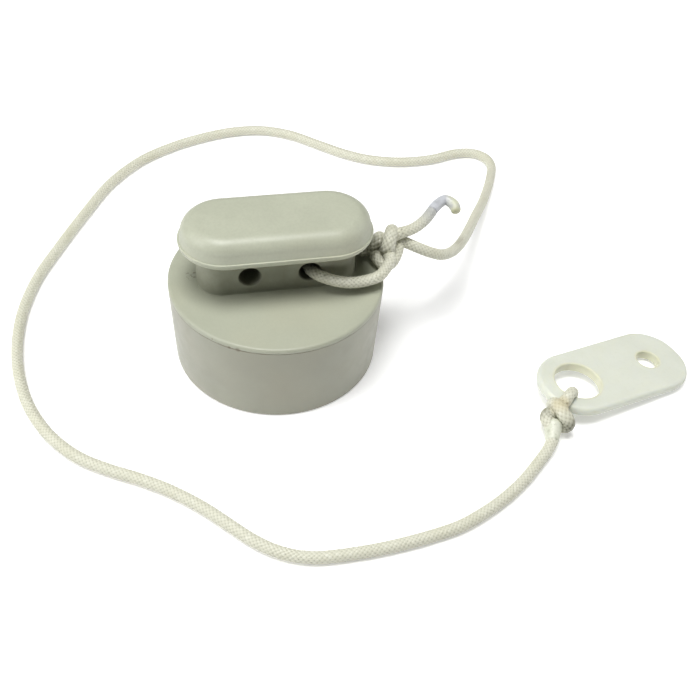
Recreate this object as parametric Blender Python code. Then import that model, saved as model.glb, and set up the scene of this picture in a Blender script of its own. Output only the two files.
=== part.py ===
"""A magnetic pull-off actuator for a pull cord switch: a round puck with a T grip, tethered by a
braided cord to a flat two-hole tab.

Metres, +Z up. The origin is at the centre of the puck's underside, which lies on Z = 0. X runs along
the grip. Every size below is in millimetres and MM turns it into metres.
"""

import math

import bmesh
import bpy
from mathutils import Matrix, Vector

MM = 0.001
GAP = 0.3

# Puck. Its side tapers a little, wider at the top.
PUCK_TOP_RADIUS = 24.0
PUCK_BOTTOM_RADIUS = 23.3
PUCK_HEIGHT = 21.0
RIM_BEVEL = 0.8
RIM_THICKNESS = 1.1
WALL = 2.0
ROUND_STEPS = 64

# The spigot under the top disc, which locates it in the body shell.
SPIGOT_RADIUS = 21.4
SPIGOT_DEPTH = 3.1
LEDGE_RADIUS = 20.4
LEDGE_HEIGHT = 1.4

# Base cover and its three screws, which run up into bosses under the top disc.
COVER_RADIUS = 21.2
COVER_THICKNESS = 2.4
SCREW_COUNT = 3
SCREW_CIRCLE_RADIUS = 17.2
SCREW_FIRST_ANGLE = math.radians(80)
SCREW_SHANK_RADIUS = 1.1
SCREW_HEAD_RADIUS = 2.2
SCREW_HEAD_HEIGHT = 1.2
SCREW_LENGTH = 11.0
BOSS_RADIUS = 3.0

# Magnet, its steel cup, which opens downwards, and the foam that presses them on the cover.
CUP_RADIUS = 12.0
CUP_WALL = 1.6
CUP_HEIGHT = 8.4
MAGNET_RADIUS = 9.9
MAGNET_HEIGHT = 6.2
FOAM_RADIUS = 10.0
LOCATING_RING_WALL = 1.4
LOCATING_RING_HEIGHT = 2.2

# T grip: an upright stem with round ends, and a flat bar with round ends on top of it.
GRIP_LENGTH = 42.2
GRIP_WIDTH = 19.9
GRIP_TOP = 37.6
GRIP_WIDEST_HEIGHT = 32.8
GRIP_UNDERSIDE = 31.2
GRIP_TOP_ROUND = 3.2
GRIP_UNDER_ROUND = 1.3
GRIP_DRAFT = 0.7
STEM_LENGTH = 35.2
STEM_WIDTH = 10.7
STEM_HOLE_RADIUS = 2.3
STEM_HOLE_OFFSET = 6.5
STEM_HOLE_HEIGHT = 25.5
END_STEPS = 20
ROUND_OVER_STEPS = 4

# Two-hole tab. It lies with its far end on the surface and its big hole raised on the tether's loop.
TAB_THICKNESS = 2.4
TAB_BIG_END_RADIUS = 9.25
TAB_FAR_CORNER_RADIUS = 8.5
TAB_FAR_CORNER_OFFSET = 0.9
TAB_FAR_CORNER_DISTANCE = 21.7
TAB_EDGE_ROUND = 0.6
TAB_BIG_HOLE_RADIUS = 5.4
TAB_SMALL_HOLE_RADIUS = 2.65
TAB_SMALL_HOLE_DISTANCE = 21.0
TAB_CENTRE = (65.1, -27.3, 2.4)
TAB_HEADING = math.radians(15)
TAB_TILT = math.radians(4.5)

# Braided cord. Each route is the line of the cord's centre.
CORD_DIAMETER = 2.5
CORD_LIE = 1.35
CORD_POINT_SPACING = 5.3
KNOT_POINT_SPACING = 2.0

# From the stem knot, off the puck and down to the surface, then round the puck to the tab.
PULL_CORD_FALL = [
    (29.4, 4.0, 24.3),
    (31.6, 3.0, 23.6),
    (33.9, 2.3, 22.7),
    (36.5, 2.2, 21.4),
    (39.5, 3.3, 19.6),
    (43.0, 6.5, 17.4),
    (46.5, 11.1, 15.2),
    (50.3, 17.3, 12.6),
    (54.6, 24.8, 10.0),
    (58.5, 31.8, 7.8),
    (63.2, 40.0, 5.2),
    (66.8, 46.8, 3.4),
    (69.7, 52.6, 2.2),
]
PULL_CORD_ON_SURFACE = [
    (72.1, 57.8),
    (73.7, 62.2),
    (73.4, 66.6),
    (70.2, 69.7),
    (64.7, 70.2),
    (56.4, 68.1),
    (47.1, 67.9),
    (38.4, 70.1),
    (31.4, 74.1),
    (24.6, 79.7),
    (16.9, 86.0),
    (8.4, 89.4),
    (-0.8, 89.4),
    (-10.1, 87.0),
    (-19.3, 83.0),
    (-28.5, 76.7),
    (-36.9, 66.8),
    (-43.8, 54.0),
    (-50.4, 40.4),
    (-55.4, 29.0),
    (-58.4, 17.5),
    (-59.3, 6.5),
    (-58.6, -3.2),
    (-56.5, -12.3),
    (-53.2, -19.8),
    (-49.4, -25.4),
    (-45.0, -29.9),
    (-39.3, -33.7),
    (-33.4, -37.0),
    (-27.7, -40.8),
    (-21.9, -45.7),
    (-17.1, -50.7),
    (-13.0, -55.0),
    (-8.9, -58.2),
    (-4.4, -60.3),
    (1.3, -61.3),
    (13.3, -61.1),
    (26.1, -59.3),
    (32.9, -57.0),
    (39.4, -53.7),
    (45.3, -49.7),
]
PULL_CORD_END = [(50.4, -45.3, 1.5), (52.4, -43.5, 1.75), (53.9, -41.9, 2.05)]

# Through the stem's right hole, round the front and the back of the stem to the knot.
STEM_LOOP_ROUTE = [
    (25.8, -1.7, 24.8),
    (25.1, -3.0, 24.6),
    (23.6, -5.1, 24.3),
    (21.6, -7.2, 24.1),
    (18.4, -8.3, 24.1),
    (15.4, -8.6, 24.2),
    (12.4, -8.2, 24.5),
    (9.6, -7.2, 25.0),
    (7.3, -5.5, 25.4),
    (6.4, -3.0, 25.5),
    (6.4, 3.0, 25.5),
    (7.3, 5.6, 25.3),
    (9.6, 7.4, 24.9),
    (13.0, 8.2, 24.3),
    (17.0, 6.6, 23.8),
    (20.0, 2.8, 23.4),
    (22.3, -0.5, 23.3),
]
STEM_KNOT_CENTRE = (25.3, 2.2, 25.6)
STEM_KNOT_RADII = (3.4, 3.3, 3.1)

TAIL_ROUTE = [
    (28.9, 3.4, 27.1),
    (31.2, 4.2, 27.0),
    (33.4, 5.6, 26.9),
    (35.8, 7.7, 26.9),
    (37.9, 10.2, 27.0),
]
SEALED_TIP_ROUTE = [
    (38.2, 10.6, 27.1),
    (40.1, 12.6, 27.2),
    (42.0, 13.7, 27.4),
    (43.3, 12.9, 27.3),
    (44.0, 11.4, 26.9),
    (43.9, 10.0, 26.3),
]

# The loop through the tab's big hole runs in one upright plane, from the hole's centre to the knot.
# These are (distance from the hole's centre, height).
TAB_LOOP_HEADING = math.radians(228.5)
TAB_LOOP_SECTION = [
    (9.9, 7.0),
    (7.6, 7.0),
    (5.2, 6.6),
    (3.8, 5.3),
    (3.5, 3.7),
    (3.9, 2.2),
    (5.4, 1.4),
    (7.6, 1.35),
    (9.9, 1.35),
]
TAB_KNOT_DISTANCE = 11.9
TAB_KNOT_HEIGHT = 4.1
TAB_KNOT_RADII = (2.0, 4.0, 2.8)
SLEEVE_RADIUS = 1.9
SLEEVE_ROUTE = [(55.6, -37.9, 2.9), (55.0, -39.6, 2.5), (54.3, -41.4, 2.2)]

PUTTY_GREY = (0.545, 0.555, 0.435)
CORD_WHITE = (0.68, 0.68, 0.55)
TAB_WHITE = (0.75, 0.765, 0.68)
STEEL_GREY = (0.42, 0.42, 0.43)
MAGNET_GREY = (0.07, 0.07, 0.075)
FOAM_GREY = (0.11, 0.11, 0.12)
SLEEVE_WHITE = (0.66, 0.67, 0.58)


def clear_scene():
    for old in list(bpy.data.objects):
        bpy.data.objects.remove(old, do_unlink=True)


def add_material(obj, colour, roughness, metallic=0.0):
    material = bpy.data.materials.new(obj.name)
    material.use_nodes = True
    shader = material.node_tree.nodes["Principled BSDF"]
    shader.inputs["Base Color"].default_value = (*colour, 1.0)
    shader.inputs["Roughness"].default_value = roughness
    shader.inputs["Metallic"].default_value = metallic
    obj.data.materials.append(material)


def add_object(name, mesh_builder):
    """A mesh object from a bmesh in millimetres."""
    bmesh.ops.remove_doubles(mesh_builder, verts=mesh_builder.verts, dist=1e-4)
    bmesh.ops.recalc_face_normals(mesh_builder, faces=mesh_builder.faces)
    bmesh.ops.scale(mesh_builder, vec=(MM, MM, MM), verts=mesh_builder.verts)
    mesh = bpy.data.meshes.new(name)
    mesh_builder.to_mesh(mesh)
    mesh_builder.free()
    mesh.shade_smooth()
    mesh.set_sharp_from_angle(angle=math.radians(35))
    obj = bpy.data.objects.new(name, mesh)
    bpy.context.collection.objects.link(obj)
    return obj


def turned(name, profile, steps=ROUND_STEPS):
    """A (radius, height) outline turned about Z. It is a ring unless it starts and ends on the axis."""
    shape = bmesh.new()
    points = [shape.verts.new((radius, 0.0, height)) for radius, height in profile]
    is_ring = profile[0][0] > 0
    ends = points[1:] + points[:1] if is_ring else points[1:]
    edges = [shape.edges.new(pair) for pair in zip(points, ends)]
    bmesh.ops.spin(
        shape,
        geom=points + edges,
        cent=(0, 0, 0),
        axis=(0, 0, 1),
        angle=math.tau,
        steps=steps,
        use_merge=True,
    )
    return add_object(name, shape)


def loft(name, rings):
    """A closed solid through rings of equal length, with flat ends."""
    shape = bmesh.new()
    loops = [[shape.verts.new(point) for point in ring] for ring in rings]
    for lower, upper in zip(loops, loops[1:]):
        for i, corner in enumerate(lower):
            after = (i + 1) % len(lower)
            shape.faces.new((corner, lower[after], upper[after], upper[i]))
    shape.faces.new(reversed(loops[0]))
    shape.faces.new(loops[-1])
    return add_object(name, shape)


def bar_ring(length, width, height):
    """A ring with two straight sides along X and two round ends."""
    radius = width / 2
    centre = length / 2 - radius
    ring = []
    for side in (1, -1):
        for step in range(END_STEPS + 1):
            angle = math.pi * (step / END_STEPS - 0.5)
            x = side * (centre + radius * math.cos(angle))
            ring.append((x, side * radius * math.sin(angle), height))
    return ring


def cylinder(name, radius, bottom, top, place=(0.0, 0.0), steps=32):
    obj = turned(name, [(0, top), (radius, top), (radius, bottom), (0, bottom)], steps)
    obj.location = (place[0] * MM, place[1] * MM, 0)
    return obj


def as_cutter(obj):
    obj.hide_render = True
    obj.display_type = "WIRE"
    return obj


def hole_cutter(name, holes, steps=20):
    """One cutter for several round holes, each (radius, length, matrix), along its matrix's Z."""
    shape = bmesh.new()
    for radius, length, matrix in holes:
        bmesh.ops.create_cone(
            shape,
            cap_ends=True,
            segments=steps,
            radius1=radius,
            radius2=radius,
            depth=length,
            matrix=matrix,
        )
    return as_cutter(add_object(name, shape))


def upright_hole(radius, place, bottom, top):
    middle = (place[0], place[1], (bottom + top) / 2)
    return radius, top - bottom, Matrix.Translation(middle)


def boolean(obj, other, operation):
    modifier = obj.modifiers.new(operation.title() + " " + other.name, "BOOLEAN")
    modifier.object = other
    modifier.operation = operation
    modifier.solver = "EXACT"


def screw_places():
    for i in range(SCREW_COUNT):
        angle = SCREW_FIRST_ANGLE + math.tau * i / SCREW_COUNT
        yield SCREW_CIRCLE_RADIUS * math.cos(angle), SCREW_CIRCLE_RADIUS * math.sin(angle)


def make_grip_bar():
    rings = []
    for step in range(ROUND_OVER_STEPS + 1):
        angle = math.pi / 2 * step / ROUND_OVER_STEPS
        inset = GRIP_UNDER_ROUND * (1 - math.sin(angle))
        height = GRIP_UNDERSIDE + (GRIP_WIDEST_HEIGHT - GRIP_UNDERSIDE) * (1 - math.cos(angle))
        rings.append(bar_ring(GRIP_LENGTH - 2 * inset, GRIP_WIDTH - 2 * inset, height))
    for step in range(ROUND_OVER_STEPS + 1):
        angle = math.pi / 2 * step / ROUND_OVER_STEPS
        inset = GRIP_DRAFT + GRIP_TOP_ROUND * (1 - math.cos(angle))
        height = GRIP_TOP - GRIP_TOP_ROUND * (1 - math.sin(angle))
        rings.append(bar_ring(GRIP_LENGTH - 2 * inset, GRIP_WIDTH - 2 * inset, height))
    return loft("grip_bar", rings)


def make_grip_housing():
    """Top disc, spigot, screw bosses, stem and grip: one moulding."""
    rim_bottom = PUCK_HEIGHT - RIM_THICKNESS
    spigot_bottom = PUCK_HEIGHT - SPIGOT_DEPTH
    side_slope = (PUCK_TOP_RADIUS - PUCK_BOTTOM_RADIUS) / PUCK_HEIGHT
    rim_bottom_radius = PUCK_TOP_RADIUS - side_slope * RIM_THICKNESS
    housing = turned(
        "grip_housing",
        [
            (0, PUCK_HEIGHT),
            (PUCK_TOP_RADIUS - RIM_BEVEL, PUCK_HEIGHT),
            (PUCK_TOP_RADIUS - RIM_BEVEL * 0.3, PUCK_HEIGHT - RIM_BEVEL * 0.3),
            (PUCK_TOP_RADIUS, PUCK_HEIGHT - RIM_BEVEL),
            (rim_bottom_radius, rim_bottom),
            (SPIGOT_RADIUS, rim_bottom),
            (SPIGOT_RADIUS, spigot_bottom),
            (0, spigot_bottom),
        ],
    )
    stem = loft(
        "stem",
        [
            bar_ring(STEM_LENGTH, STEM_WIDTH, PUCK_HEIGHT - 1),
            bar_ring(STEM_LENGTH, STEM_WIDTH, GRIP_UNDERSIDE + 1),
        ],
    )
    pieces = [stem, make_grip_bar()]
    boss_bottom = COVER_THICKNESS + GAP
    for i, place in enumerate(screw_places(), 1):
        pieces.append(cylinder(f"boss_{i}", BOSS_RADIUS, boss_bottom, spigot_bottom + 1, place))
    for piece in pieces:
        boolean(housing, as_cutter(piece), "UNION")
    shank_radius = SCREW_SHANK_RADIUS + GAP
    holes = [upright_hole(shank_radius, place, 0, SCREW_LENGTH + 1) for place in screw_places()]
    lying = Matrix.Rotation(math.pi / 2, 4, "X")
    for side in (-1, 1):
        middle = Matrix.Translation((side * STEM_HOLE_OFFSET, 0, STEM_HOLE_HEIGHT))
        holes.append((STEM_HOLE_RADIUS, 2 * STEM_WIDTH, middle @ lying))
    boolean(housing, hole_cutter("housing_holes", holes), "DIFFERENCE")
    add_material(housing, PUTTY_GREY, 0.48)
    return housing


def make_body_shell():
    """The puck's side wall, with an inner ledge that the base cover clamps."""
    top = PUCK_HEIGHT - RIM_THICKNESS - GAP
    side_slope = (PUCK_TOP_RADIUS - PUCK_BOTTOM_RADIUS) / PUCK_HEIGHT
    ledge_bottom = COVER_THICKNESS + GAP
    cover_hole_radius = COVER_RADIUS + GAP
    bore_radius = PUCK_TOP_RADIUS - WALL - GAP
    shell = turned(
        "body_shell",
        [
            (PUCK_BOTTOM_RADIUS + side_slope * top, top),
            (PUCK_BOTTOM_RADIUS + 0.03, 0.4),
            (PUCK_BOTTOM_RADIUS - 0.35, 0),
            (cover_hole_radius, 0),
            (cover_hole_radius, ledge_bottom),
            (LEDGE_RADIUS, ledge_bottom),
            (LEDGE_RADIUS, ledge_bottom + LEDGE_HEIGHT),
            (bore_radius, ledge_bottom + LEDGE_HEIGHT + 1),
            (bore_radius, top),
        ],
    )
    add_material(shell, PUTTY_GREY, 0.5)
    return shell


def make_base_cover():
    """The flat underside, with a ring that holds the magnet's cup in place."""
    ring_inner = CUP_RADIUS + GAP
    ring_outer = ring_inner + LOCATING_RING_WALL
    ring_top = COVER_THICKNESS + LOCATING_RING_HEIGHT
    cover = turned(
        "base_cover",
        [
            (0, COVER_THICKNESS),
            (ring_inner, COVER_THICKNESS),
            (ring_inner, ring_top),
            (ring_outer, ring_top),
            (ring_outer, COVER_THICKNESS),
            (COVER_RADIUS, COVER_THICKNESS),
            (COVER_RADIUS, 0.2),
            (COVER_RADIUS - 0.2, 0),
            (0, 0),
        ],
    )
    head_hole_top = SCREW_HEAD_HEIGHT + 2 * GAP
    shanks = [
        upright_hole(SCREW_SHANK_RADIUS + GAP, place, -1, COVER_THICKNESS + 1)
        for place in screw_places()
    ]
    heads = [
        upright_hole(SCREW_HEAD_RADIUS + GAP, place, -1, head_hole_top)
        for place in screw_places()
    ]
    boolean(cover, hole_cutter("cover_shank_holes", shanks), "DIFFERENCE")
    boolean(cover, hole_cutter("cover_head_recesses", heads), "DIFFERENCE")
    add_material(cover, PUTTY_GREY, 0.55)
    return cover


def make_cover_screws():
    head_top = GAP + SCREW_HEAD_HEIGHT
    for i, place in enumerate(screw_places(), 1):
        screw = turned(
            f"cover_screw_{i}",
            [
                (0, SCREW_LENGTH),
                (SCREW_SHANK_RADIUS * 0.5, SCREW_LENGTH),
                (SCREW_SHANK_RADIUS, SCREW_LENGTH - 1),
                (SCREW_SHANK_RADIUS, head_top),
                (SCREW_HEAD_RADIUS, head_top),
                (SCREW_HEAD_RADIUS, GAP + 0.3),
                (SCREW_HEAD_RADIUS - 0.3, GAP),
                (0, GAP),
            ],
            steps=20,
        )
        screw.location = (place[0] * MM, place[1] * MM, 0)
        add_material(screw, STEEL_GREY, 0.35, 1.0)


def make_magnet_set():
    bottom = COVER_THICKNESS + GAP
    cup_top = bottom + CUP_HEIGHT
    cup = turned(
        "magnet_cup",
        [
            (0, cup_top),
            (CUP_RADIUS - 0.6, cup_top),
            (CUP_RADIUS, cup_top - 0.6),
            (CUP_RADIUS, bottom),
            (CUP_RADIUS - CUP_WALL, bottom),
            (CUP_RADIUS - CUP_WALL, cup_top - CUP_WALL),
            (0, cup_top - CUP_WALL),
        ],
        steps=48,
    )
    add_material(cup, STEEL_GREY, 0.4, 1.0)
    magnet = cylinder("disc_magnet", MAGNET_RADIUS, bottom, bottom + MAGNET_HEIGHT, steps=48)
    add_material(magnet, MAGNET_GREY, 0.6)
    foam_top = PUCK_HEIGHT - SPIGOT_DEPTH - GAP
    foam = cylinder("foam_pad", FOAM_RADIUS, cup_top + GAP, foam_top, steps=32)
    add_material(foam, FOAM_GREY, 0.95)


def tab_outline():
    """The tab's outline about its big hole's centre: a round end and a flatter far end."""
    outline = []
    for step in range(END_STEPS + 1):
        angle = math.pi / 2 + math.pi * step / END_STEPS
        outline.append(
            (TAB_BIG_END_RADIUS * math.cos(angle), TAB_BIG_END_RADIUS * math.sin(angle))
        )
    for side in (-1, 1):
        for step in range(END_STEPS // 2 + 1):
            angle = math.pi / 2 * (step / (END_STEPS // 2) + (side - 1) / 2)
            outline.append(
                (
                    TAB_FAR_CORNER_DISTANCE + TAB_FAR_CORNER_RADIUS * math.cos(angle),
                    side * TAB_FAR_CORNER_OFFSET + TAB_FAR_CORNER_RADIUS * math.sin(angle),
                )
            )
    return outline


def inset_outline(outline, distance):
    """The outline moved inwards, each point along its own corner's normal."""
    moved = []
    for i, here in enumerate(outline):
        before = Vector(outline[i - 1])
        after = Vector(outline[(i + 1) % len(outline)])
        along = (after - before).normalized()
        moved.append(Vector(here) + distance * Vector((-along.y, along.x)))
    return moved


def tab_frame():
    """Where the tab lies: the big hole's centre at the tab's lower face, with Z along its swivel."""
    place = Matrix.Translation(Vector(TAB_CENTRE) * MM)
    turn = Matrix.Rotation(TAB_HEADING, 4, "Z")
    return place @ turn @ Matrix.Rotation(TAB_TILT, 4, "Y")


def make_end_tab():
    outline = tab_outline()
    rings = []
    edge_levels = ((1.0, 0.0), (0.3, 0.3), (0.0, 1.0))
    for inset, height in edge_levels:
        ring = inset_outline(outline, inset * TAB_EDGE_ROUND)
        rings.append([(point.x, point.y, height * TAB_EDGE_ROUND) for point in ring])
    for inset, height in reversed(edge_levels):
        ring = inset_outline(outline, inset * TAB_EDGE_ROUND)
        top = TAB_THICKNESS - height * TAB_EDGE_ROUND
        rings.append([(point.x, point.y, top) for point in ring])
    tab = loft("end_tab", rings)
    swivel = bpy.data.objects.new("tab_swivel", None)
    bpy.context.collection.objects.link(swivel)
    swivel.matrix_world = tab_frame()
    tab.parent = swivel
    small_place = (TAB_SMALL_HOLE_DISTANCE, 0)
    holes = hole_cutter(
        "tab_holes",
        [
            upright_hole(TAB_BIG_HOLE_RADIUS, (0, 0), -1, TAB_THICKNESS + 1),
            upright_hole(TAB_SMALL_HOLE_RADIUS, small_place, -1, TAB_THICKNESS + 1),
        ],
        steps=36,
    )
    holes.parent = swivel
    boolean(tab, holes, "DIFFERENCE")
    add_material(tab, TAB_WHITE, 0.42)


def smooth_route(route, spacing):
    """Evenly spaced points on a Catmull-Rom curve through the route's own points."""
    points = [Vector(point) for point in route]
    before = 2 * points[0] - points[1]
    after = 2 * points[-1] - points[-2]
    points = [before, *points, after]
    fine = [points[1]]
    for a, b, c, d in zip(points, points[1:], points[2:], points[3:]):
        for step in range(1, 21):
            t = step / 20
            fine.append(
                0.5
                * (
                    2 * b
                    + (c - a) * t
                    + (2 * a - 5 * b + 4 * c - d) * t**2
                    + (3 * b - a - 3 * c + d) * t**3
                )
            )
    lengths = [(q - p).length for p, q in zip(fine, fine[1:])]
    total = sum(lengths)
    count = max(2, round(total / spacing))
    even = [fine[0]]
    walked = 0.0
    for (p, q), length in zip(zip(fine, fine[1:]), lengths):
        while len(even) < count and walked + length >= total * len(even) / count:
            share = (total * len(even) / count - walked) / length
            even.append(p.lerp(q, share))
        walked += length
    even.append(fine[-1])
    return even


def make_tube(name, route, radius, spacing, colour):
    curve = bpy.data.curves.new(name, "CURVE")
    curve.dimensions = "3D"
    curve.bevel_depth = radius * MM
    curve.bevel_resolution = 2
    curve.use_fill_caps = True
    spline = curve.splines.new("POLY")
    points = smooth_route(route, spacing)
    spline.points.add(len(points) - 1)
    for target, point in zip(spline.points, points):
        target.co = (*(point * MM), 1.0)
    spline.use_smooth = True
    obj = bpy.data.objects.new(name, curve)
    bpy.context.collection.objects.link(obj)
    add_material(obj, colour, 0.8)
    return obj


def make_knot(name, centre, radii, heading=0.0):
    """A knot's outer shape: a rounded lump. Its first radius points along heading."""
    shape = bmesh.new()
    bmesh.ops.create_icosphere(shape, subdivisions=3, radius=1.0)
    bmesh.ops.scale(shape, vec=radii, verts=shape.verts)
    bmesh.ops.rotate(shape, matrix=Matrix.Rotation(heading, 3, "Z"), verts=shape.verts)
    bmesh.ops.translate(shape, vec=centre, verts=shape.verts)
    knot = add_object(name, shape)
    add_material(knot, CORD_WHITE, 0.8)
    return knot


def in_loop_plane(distance, height):
    """A point in the tab loop's upright plane, given from the big hole's centre."""
    x = TAB_CENTRE[0] + distance * math.cos(TAB_LOOP_HEADING)
    y = TAB_CENTRE[1] + distance * math.sin(TAB_LOOP_HEADING)
    return (x, y, height)


def make_cord():
    radius = CORD_DIAMETER / 2
    on_surface = [(x, y, CORD_LIE) for x, y in PULL_CORD_ON_SURFACE]
    pull_route = PULL_CORD_FALL + on_surface + PULL_CORD_END
    make_tube("pull_cord", pull_route, radius, CORD_POINT_SPACING, CORD_WHITE)
    make_tube("stem_loop", STEM_LOOP_ROUTE, radius, KNOT_POINT_SPACING, CORD_WHITE)
    make_tube("cord_tail", TAIL_ROUTE, radius, KNOT_POINT_SPACING, CORD_WHITE)
    make_tube("sealed_tip", SEALED_TIP_ROUTE, radius, KNOT_POINT_SPACING / 2, SLEEVE_WHITE)
    make_knot("stem_knot", STEM_KNOT_CENTRE, STEM_KNOT_RADII)
    tab_loop_route = [in_loop_plane(*point) for point in TAB_LOOP_SECTION]
    make_tube("tab_loop", tab_loop_route, radius, KNOT_POINT_SPACING / 2, CORD_WHITE)
    knot_centre = in_loop_plane(TAB_KNOT_DISTANCE, TAB_KNOT_HEIGHT)
    make_knot("tab_knot", knot_centre, TAB_KNOT_RADII, TAB_LOOP_HEADING)
    make_tube("knot_sleeve", SLEEVE_ROUTE, SLEEVE_RADIUS, KNOT_POINT_SPACING, SLEEVE_WHITE)


def main():
    clear_scene()
    make_grip_housing()
    make_body_shell()
    make_base_cover()
    make_cover_screws()
    make_magnet_set()
    make_end_tab()
    make_cord()


main()
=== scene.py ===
"""The looks of the magnetic pull-off actuator of a pull cord switch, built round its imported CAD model.

Metres, +Z up, in the CAD's own frame. Sizes below are in millimetres and MM turns them into metres.
The order is: sizes and routes, shapes, cord, puck, tab, materials, studio, and then the whole.
"""

import math

import bmesh
import bpy
import numpy as np
from mathutils import Matrix, Vector


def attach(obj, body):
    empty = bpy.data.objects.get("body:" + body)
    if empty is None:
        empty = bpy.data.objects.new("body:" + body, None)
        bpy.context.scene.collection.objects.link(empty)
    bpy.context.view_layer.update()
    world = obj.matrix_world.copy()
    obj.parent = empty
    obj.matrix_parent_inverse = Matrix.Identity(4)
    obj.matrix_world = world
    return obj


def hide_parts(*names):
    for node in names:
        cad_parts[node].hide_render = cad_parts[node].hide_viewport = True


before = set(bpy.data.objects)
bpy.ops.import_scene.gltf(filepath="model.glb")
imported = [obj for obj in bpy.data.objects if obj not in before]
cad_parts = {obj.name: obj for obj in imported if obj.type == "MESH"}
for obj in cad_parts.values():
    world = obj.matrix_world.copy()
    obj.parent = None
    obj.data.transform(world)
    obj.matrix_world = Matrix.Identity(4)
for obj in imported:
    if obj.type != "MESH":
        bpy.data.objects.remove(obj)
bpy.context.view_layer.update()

MM = 0.001
PUCK_BODY = "puck"
TAB_BODY = "tab"

# Camera: it looks down at the puck from the front left, a little rolled.
CAMERA_PLACE = (-23.74, -157.02, 157.92)
CAMERA_HEADING = math.radians(15.0)
CAMERA_DOWN = math.radians(45.19)
CAMERA_ROLL = math.radians(4.7)
CAMERA_LENS = 48.1
CAMERA_SENSOR = 36.0
CAMERA_NEAREST = 5.0

# The studio. Soft boxes are (name, place, size, power), and they all face one spot in the puck.
FLOOR_SIZE = 1600.0
FLOOR_DROP = 0.1
WORLD_STRENGTH = 0.03
LIGHTS_AIM = (0.0, 0.0, 15.0)
SOFT_BOXES = [
    ("top", (-80, -50, 700), 340, 4.85),
    ("left", (-480, -60, 340), 380, 1.7),
    ("right", (560, 0, 260), 420, 0.9),
]

# The braided cord: eight strands wind each way, over one and under one, and a turn is BRAID_PITCH long.
# Its relief is BRAID_DEPTH deep, with BRAID_LEVEL of it inside the cord's own radius. CROWN_SHARE of it
# is each strand's roundness, and the rest is the strands passing over and under. In the material,
# strands lie STRAND_APART strand widths apart, so that no two get the same fibres.
CORD_DIAMETER = 2.5
CORD_LIE = 1.35
BRAID_STRANDS = 8
BRAID_PITCH = 7.8
BRAID_DEPTH = 0.24
BRAID_LEVEL = 0.75
STRAND_FILL = 1.96
CROWN_SHARE = 0.6
STRAND_APART = 7.3
COLUMNS_PER_STRAND = 6
RINGS_PER_STRAND = 4
BRAID_RING_SPACING = BRAID_PITCH / BRAID_STRANDS / RINGS_PER_STRAND

PULL_CORD_FALL = [
    (29.4, 4.0, 24.3), (31.6, 3.0, 23.6), (33.9, 2.3, 22.7), (36.5, 2.2, 21.4), (39.5, 3.3, 19.6),
    (43.0, 6.5, 17.4), (46.5, 11.1, 15.2), (50.3, 17.3, 12.6), (54.6, 24.8, 10.0),
    (58.5, 31.8, 7.8), (63.2, 40.0, 5.2), (66.8, 46.8, 3.4), (69.7, 52.6, 2.2),
]
PULL_CORD_ON_SURFACE = [
    (72.1, 57.8), (73.7, 62.2), (73.4, 66.6), (70.2, 69.7), (64.7, 70.2), (56.4, 68.1),
    (47.1, 67.9), (38.4, 70.1), (31.4, 74.1), (24.6, 79.7), (16.9, 86.0), (8.4, 89.4), (-0.8, 89.4),
    (-10.1, 87.0), (-19.3, 83.0), (-28.5, 76.7), (-36.9, 66.8), (-43.8, 54.0), (-50.4, 40.4),
    (-55.4, 29.0), (-58.4, 17.5), (-59.3, 6.5), (-58.6, -3.2), (-56.5, -12.3), (-53.2, -19.8),
    (-49.4, -25.4), (-45.0, -29.9), (-39.3, -33.7), (-33.4, -37.0), (-27.7, -40.8), (-21.9, -45.7),
    (-17.1, -50.7), (-13.0, -55.0), (-8.9, -58.2), (-4.4, -60.3), (1.3, -61.3), (13.3, -61.1),
    (26.1, -59.3), (32.9, -57.0), (39.4, -53.7), (45.3, -49.7),
]
PULL_CORD_END = [(50.4, -45.3, 1.5), (52.4, -43.5, 1.75), (53.9, -41.9, 2.05)]

STEM_LOOP_ROUTE = [
    (25.8, -1.7, 24.8), (25.1, -3.0, 24.6), (23.6, -5.1, 24.3), (21.6, -7.2, 24.1),
    (18.4, -8.3, 24.1), (15.4, -8.6, 24.2), (12.4, -8.2, 24.5), (9.6, -7.2, 25.0),
    (7.3, -5.5, 25.4), (6.4, -3.0, 25.5), (6.4, 3.0, 25.5), (7.3, 5.6, 25.3), (9.6, 7.4, 24.9),
    (13.0, 8.2, 24.3), (17.0, 6.6, 23.8), (20.0, 2.8, 23.4), (22.3, -0.5, 23.3),
]
TAIL_ROUTE = [
    (28.9, 3.4, 27.1), (31.2, 4.2, 27.0), (33.4, 5.6, 26.9), (35.8, 7.7, 26.9), (37.9, 10.2, 27.0),
]
SEALED_TIP_ROUTE = [
    (38.2, 10.6, 27.1), (40.1, 12.6, 27.2), (42.0, 13.7, 27.4), (43.3, 12.9, 27.3),
    (44.0, 11.4, 26.9), (43.9, 10.0, 26.3),
]
# (share of the length, radius) pairs.
TIP_RADII = [(0, 1.22), (0.1, 1.3), (0.55, 1.22), (0.8, 1.3), (0.93, 1.2), (0.98, 0.95), (1, 0.6)]

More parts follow.
